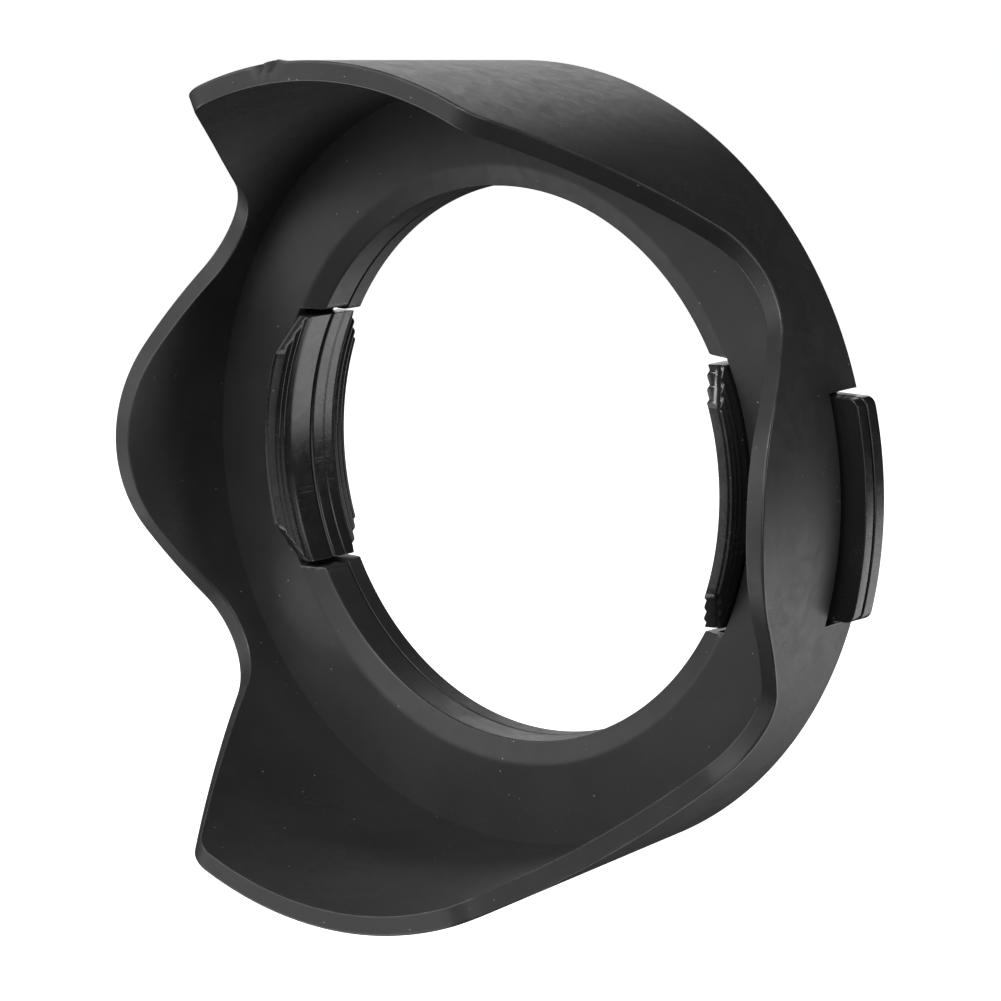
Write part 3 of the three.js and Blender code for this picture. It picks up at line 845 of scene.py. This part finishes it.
class Finish:
    """One procedural material, with shorthand for its nodes. Sizes are in millimetres."""

    def __init__(self, name, roughness, specular=0.5, metallic=0.0):
        self.material = bpy.data.materials.new(name)
        self.material.use_nodes = True
        self.tree = self.material.node_tree
        self.shader = self.tree.nodes["Principled BSDF"]
        self.shader.inputs["Roughness"].default_value = roughness
        self.shader.inputs["Specular IOR Level"].default_value = specular
        self.shader.inputs["Metallic"].default_value = metallic
        self.place = self.node("ShaderNodeTexCoord").outputs["Object"]

    def node(self, kind, inputs=(), **settings):
        """A node with its settings, and its inputs by name or number."""
        made = self.tree.nodes.new(kind)
        for key, value in settings.items():
            setattr(made, key, value)
        for key, value in dict(inputs).items():
            self.put(made.inputs[key], value)
        return made

    def put(self, socket, value):
        if isinstance(value, bpy.types.NodeSocket):
            self.tree.links.new(value, socket)
        else:
            socket.default_value = value

    def scaled(self, stretch, turn=(0, 0, 0)):
        """The place turned and stretched, so that a texture runs along one direction."""
        inputs = {"Vector": self.place, "Rotation": turn, "Scale": stretch}
        return self.node("ShaderNodeMapping", inputs).outputs["Vector"]

    def noise(self, size, detail=2.0, roughness=0.5, place=None, distortion=0.0):
        inputs = {
            "Vector": place or self.place, "Scale": 1 / (size * MM), "Detail": detail,
            "Roughness": roughness, "Distortion": distortion,
        }
        return self.node("ShaderNodeTexNoise", inputs).outputs["Fac"]

    def ramp(self, value, low, high, to_low=0.0, to_high=1.0):
        inputs = {"Value": value, 1: low, 2: high, 3: to_low, 4: to_high}
        return self.node("ShaderNodeMapRange", inputs, clamp=True).outputs["Result"]

    def math(self, operation, one, other=0.0):
        return self.node("ShaderNodeMath", {0: one, 1: other}, operation=operation).outputs[0]

    def mix(self, share, one, other):
        inputs = {0: share, 6: one, 7: other}
        return self.node("ShaderNodeMix", inputs, data_type="RGBA").outputs[2]

    def specks(self, size, spacing, share):
        """1 in small spots of that size, in a share of cells that are spacing apart."""
        inputs = {"Vector": self.place, "Scale": 1 / (spacing * MM)}
        cells = self.node("ShaderNodeTexVoronoi", inputs)
        colour = self.node("ShaderNodeSeparateColor", {0: cells.outputs["Color"]})
        reach = self.ramp(colour.outputs[1], 0, 1, size / spacing * 0.25, size / spacing * 0.5)
        near = self.math("LESS_THAN", cells.outputs["Distance"], reach)
        chosen = self.math("GREATER_THAN", colour.outputs[0], 1 - share)
        return self.math("MULTIPLY", near, chosen)

    def scratches(self, turn, width, length, share):
        """1 along fine lines in one direction, broken up so that only some of them show."""
        lines = self.noise(width, detail=0.0, place=self.scaled((1, width / length, 1), turn))
        fine = self.ramp(lines, 0.735, 0.76)
        shown = self.ramp(self.noise(9.0, detail=1.0), 1 - share - 0.03, 1 - share)
        return self.math("MULTIPLY", fine, shown)

    def bump(self, height, strength, distance, normal=None):
        inputs = {"Height": height, "Strength": strength, "Distance": distance * MM}
        if normal:
            inputs["Normal"] = normal
        return self.node("ShaderNodeBump", inputs).outputs["Normal"]

    def edges(self):
        return self.node("ShaderNodeAttribute", attribute_name="edge").outputs["Fac"]

    def set(self, **sockets):
        for name, value in sockets.items():
            self.put(self.shader.inputs[name.replace("_", " ")], value)


def grey(value, blue=0.0):
    return (value, value, value * (1 + blue), 1)


def moulded_black(name, base, roughness, specular, grain, edge_wear_and_glint, dust, scratched):
    """Moulded black plastic: grained, blotched, dusty and scratched, its edges lightened partly by
    wear and partly as a painted highlight.
    """
    finish = Finish(name, roughness, specular)
    blotches = finish.noise(11.0, detail=3.0, roughness=0.6)
    smears = finish.noise(2.6, detail=4.0, roughness=0.65, distortion=1.2)
    colour = finish.mix(
        finish.ramp(blotches, 0.35, 0.65), grey(base * 0.88, 0.02), grey(base * 1.12, 0.05),
    )
    broken = finish.ramp(finish.noise(4.0, detail=3.0), 0.4, 0.65, 0.35, 1.0)
    # The edges lighten to grey: partly wear, partly a painted highlight along the rounded rims.
    lightened_edges = finish.math("MULTIPLY", finish.ramp(finish.edges(), 0.25, 0.8), broken)
    colour = finish.mix(finish.math("MULTIPLY", lightened_edges, edge_wear_and_glint), colour, grey(0.24))
    specks = finish.math("MULTIPLY", finish.specks(0.19, 1.6, 0.5), dust)
    lint = finish.math("MULTIPLY", finish.specks(0.1, 0.9, 0.3), dust * 0.6)
    marks = finish.scratches((0.3, 0.2, 0.9), 0.07, 5.0, 0.42)
    other = finish.scratches((1.1, 0.5, -0.5), 0.06, 3.5, 0.40)
    marks = finish.math("MAXIMUM", marks, other)
    colour = finish.mix(finish.math("MULTIPLY", marks, scratched), colour, grey(0.16))
    colour = finish.mix(finish.math("MAXIMUM", specks, lint), colour, grey(0.38))
    rough = finish.math("ADD", roughness - 0.06, finish.ramp(smears, 0.3, 0.7, 0, 0.12))
    rough = finish.math("ADD", rough, finish.math("MULTIPLY", marks, 0.12))
    burnished = finish.ramp(finish.edges(), 0.2, 0.7, 0, roughness * 0.6)
    rough = finish.math("SUBTRACT", rough, burnished)
    fine = finish.noise(0.16, detail=2.0, roughness=0.6)
    normal = finish.bump(fine, grain, 0.02)
    normal = finish.bump(finish.noise(7.0, detail=1.0), 0.25, 0.05, normal)
    normal = finish.bump(finish.math("MULTIPLY", marks, -1), 0.3, 0.01, normal)
    finish.set(Base_Color=colour, Roughness=rough, Normal=normal)
    return finish.material


def steel(name, base, roughness, grain_stretch):
    """Drawn or blackened steel, with grain along X or all round."""
    finish = Finish(name, roughness, metallic=1.0)
    streaks = finish.noise(0.12, detail=3.0, place=finish.scaled(grain_stretch))
    colour = finish.mix(finish.ramp(streaks, 0.3, 0.7), grey(base * 0.85), grey(base * 1.1))
    lightened_edges = finish.ramp(finish.edges(), 0.2, 0.9, 0, 0.5)
    colour = finish.mix(lightened_edges, colour, grey(min(1, base * 2.2)))
    rough = finish.ramp(streaks, 0.3, 0.7, roughness - 0.06, roughness + 0.08)
    finish.set(Base_Color=colour, Roughness=rough, Normal=finish.bump(streaks, 0.3, 0.01))
    return finish.material


EDGE_MARK_REACH = 0.2  # lightened edges, worn and on the plastic also a painted highlight, are no wider than this, in millimetres
EDGE_MARK_BEND = 0.5  # an edge that bends by this many radians is lightened fully, for wear and painted highlight


def mark_edges(obj):
    """Stores how strongly the surface bends outwards, on narrow faces only, for edge wear and, on
    the plastic, a painted highlight.
    """
    mesh = obj.data
    bm = bmesh.new()
    bm.from_mesh(mesh)
    bend = np.zeros(len(bm.verts))
    for vertex in bm.verts:
        angles = [e.calc_face_angle_signed(0) for e in vertex.link_edges if len(e.link_faces) == 2]
        bend[vertex.index] = max(angles, default=0)
    narrow = np.zeros(len(bm.faces))
    for face in bm.faces:
        longest = max(e.calc_length() for e in face.edges)
        narrow[face.index] = face.calc_area() <= longest * EDGE_MARK_REACH * MM
    bm.free()
    corner_vertex = np.zeros(len(mesh.loops), np.int32)
    mesh.loops.foreach_get("vertex_index", corner_vertex)
    corner_count = np.zeros(len(mesh.polygons), np.int32)
    mesh.polygons.foreach_get("loop_total", corner_count)
    values = np.clip(bend[corner_vertex] / EDGE_MARK_BEND, 0, 1) * np.repeat(narrow, corner_count)
    attribute = mesh.attributes.new("edge", "FLOAT", "CORNER")
    attribute.data.foreach_set("value", values.astype(np.float32))


# Each wear value also sets how strongly a painted highlight lightens the edges.
SHELL_PLASTIC = moulded_black(
    "shell_satin_black", base=0.030, roughness=0.46, specular=0.45,
    grain=0.30, edge_wear_and_glint=0.28, dust=0.8, scratched=0.2,
)
COVER_PLASTIC = moulded_black(
    "cover_satin_black", base=0.028, roughness=0.50, specular=0.42,
    grain=0.35, edge_wear_and_glint=0.15, dust=0.5, scratched=0.2,
)
CLIP_PLASTIC = moulded_black(
    "clip_gloss_black", base=0.019, roughness=0.27, specular=0.5,
    grain=0.10, edge_wear_and_glint=0.12, dust=0.6, scratched=0.6,
)
SCREW_STEEL = steel("screw_black_steel", 0.10, 0.36, (1, 1, 1))
SPRING_STEEL = steel("spring_bright_steel", 0.55, 0.25, (1, 0.1, 1))


# ---- assembly ----


def place(obj, body, slot_name, material, *nodes, sharp=38):
    """Finishes a piece and sets it to ride on its body in place of its CAD nodes."""
    mark_edges(obj)
    smooth(obj, sharp)
    obj.data.materials.clear()
    obj.data.materials.append(material)
    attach(obj, body)
    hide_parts(*nodes)
    return obj


place(petal_shell(), "housing", "shell_plastic", SHELL_PLASTIC, "petal_shell")
place(rear_cover(), "housing", "cover_plastic", COVER_PLASTIC, "rear_cover")

for number in range(1, len(COVER_SCREW_ANGLES) + 1):
    node = f"cover_screw_{number}"
    made = screw(node + "_turned", node, 1.5, 0.75, 0.8, random.uniform(0, math.pi / 2))
    place(made, "housing", "screw_steel", SCREW_STEEL, node, sharp=30)

for side in ("right", "left"):
    body, joint = side + "_clip", side + "_clip_slide"
    for level, build in (("front", clip_front), ("rear", clip_rear)):
        made = build()
        if side == "left":
            half_turn(made)
        made.name = f"{side}_clip_{level}_moulding"
        place(made, body, "clip_plastic", CLIP_PLASTIC, f"{side}_clip_{level}")
    for level in ("upper", "lower"):
        node = f"{side}_clip_screw_{level}"
        made = screw(node + "_turned", node, 1.3, 0.55, 0.6, random.uniform(0, math.pi / 2))
        place(made, body, "screw_steel", SCREW_STEEL, node, sharp=30)
        node = f"{side}_spring_pin_{level}"
        place(pin(node + "_turned", node), "housing", "spring_steel", SPRING_STEEL, node)
        node = f"{side}_spring_{level}"
        coil = place(spring(node + "_wound", node), "housing", "spring_steel", SPRING_STEEL, node)
        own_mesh(coil)


# ---- stage, lights and camera ----

FLOOR_Z = -0.18  # metres, as are all the sizes of the stage
FLOOR_R = 9.0
SOFTBOX_DISTANCE = 1.2


def floor():
    vertices = [(0, 0, FLOOR_Z)]
    count = 96
    for i in range(count):
        t = 2 * math.pi * i / count
        vertices.append((FLOOR_R * math.cos(t), FLOOR_R * math.sin(t), FLOOR_Z))
    faces = [(0, i + 1, (i + 1) % count + 1) for i in range(count)]
    mesh = bpy.data.meshes.new("floor")
    mesh.from_pydata(vertices, [], faces)
    obj = bpy.data.objects.new("floor", mesh)
    bpy.context.scene.collection.objects.link(obj)
    paper = Finish("white_paper", 0.9, specular=0.2)
    fibres = paper.noise(900.0, detail=3.0)
    paper.set(Base_Color=paper.mix(fibres, grey(0.9), grey(0.93)))
    paper.set(Emission_Color=grey(1.0), Emission_Strength=1.0)
    mesh.materials.append(paper.material)
    # Thin and lit through, like a light table: the low lamps reach the hood through it.
    obj.visible_diffuse = obj.visible_glossy = obj.visible_shadow = False


def softbox(name, azimuth, elevation, radiance, size=0.9):
    """A square of even light that faces the hood; azimuth 0 is in front of the petals."""
    light = bpy.data.lights.new(name, "AREA")
    light.size = size
    light.energy = radiance * size ** 2 * math.pi
    obj = bpy.data.objects.new(name, light)
    bpy.context.scene.collection.objects.link(obj)
    a, e = math.radians(azimuth), math.radians(elevation)
    away = Vector((math.sin(a) * math.cos(e), -math.cos(a) * math.cos(e), math.sin(e)))
    obj.location = away * SOFTBOX_DISTANCE + Vector((0, (LONG_PETAL_Y + REGISTER_Y) / 2 * MM, 0))
    obj.rotation_mode = "QUATERNION"
    obj.rotation_quaternion = (-away).to_track_quat("-Z", "Y")
    obj.visible_camera = False


def white_world():
    """White to the eye, and no light on the object."""
    world = bpy.data.worlds.new("studio")
    bpy.context.scene.world = world
    world.use_nodes = True
    nodes, links = world.node_tree.nodes, world.node_tree.links
    background = nodes["Background"]
    background.inputs["Color"].default_value = grey(1.0)
    path = nodes.new("ShaderNodeLightPath")
    links.new(path.outputs["Is Camera Ray"], background.inputs["Strength"])


floor()
white_world()
softbox("key", 10, 55, 9.0, size=0.3)
softbox("front_upper", 0, 35, 2.3)
softbox("front_left", 315, 20, 1.5, size=1.2)
softbox("front_right", 45, 10, 1.5)
softbox("left_lower", 300, -35, 2.0)
softbox("right_lower", 140, -35, 2.3, size=1.1)
softbox("right_glint", 110, 20, 3.0, size=0.4)
softbox("back_left", 225, 25, 1.5)

# The camera's place and aim, in millimetres and radians. Its target lies on the optical axis.
CAMERA_AZIMUTH = math.radians(38.9006)
CAMERA_ELEVATION = math.radians(9.6995)
CAMERA_DISTANCE = 518.69
CAMERA_TARGET = Vector((0, -5.8, 0))
CAMERA_YAW = math.radians(-0.1075)
CAMERA_PITCH = math.radians(0.4579)
CAMERA_ROLL = math.radians(-0.3017)
CAMERA_LENS = 158.05


def photo_camera():
    """The photograph's view: the front right, a little from above."""
    a, e = CAMERA_AZIMUTH, CAMERA_ELEVATION
    back = Vector((math.sin(a) * math.cos(e), -math.cos(a) * math.cos(e), math.sin(e)))
    right = Vector((math.cos(a), math.sin(a), 0))
    view = Matrix((right, back.cross(right), back))
    aim = Matrix.Rotation(CAMERA_ROLL, 3, "Z") @ Matrix.Rotation(CAMERA_PITCH, 3, "X")
    view = aim @ Matrix.Rotation(CAMERA_YAW, 3, "Y") @ view
    data = bpy.data.cameras.new("camera")
    data.sensor_width = 36
    data.lens = CAMERA_LENS
    data.clip_start, data.clip_end = 0.01, 50
    obj = bpy.data.objects.new("camera", data)
    bpy.context.scene.collection.objects.link(obj)
    place_at = (back * CAMERA_DISTANCE + CAMERA_TARGET) * MM
    obj.matrix_world = Matrix.Translation(place_at) @ view.transposed().to_4x4()
    bpy.context.scene.camera = obj


photo_camera()
bpy.context.scene.view_settings.view_transform = "Standard"
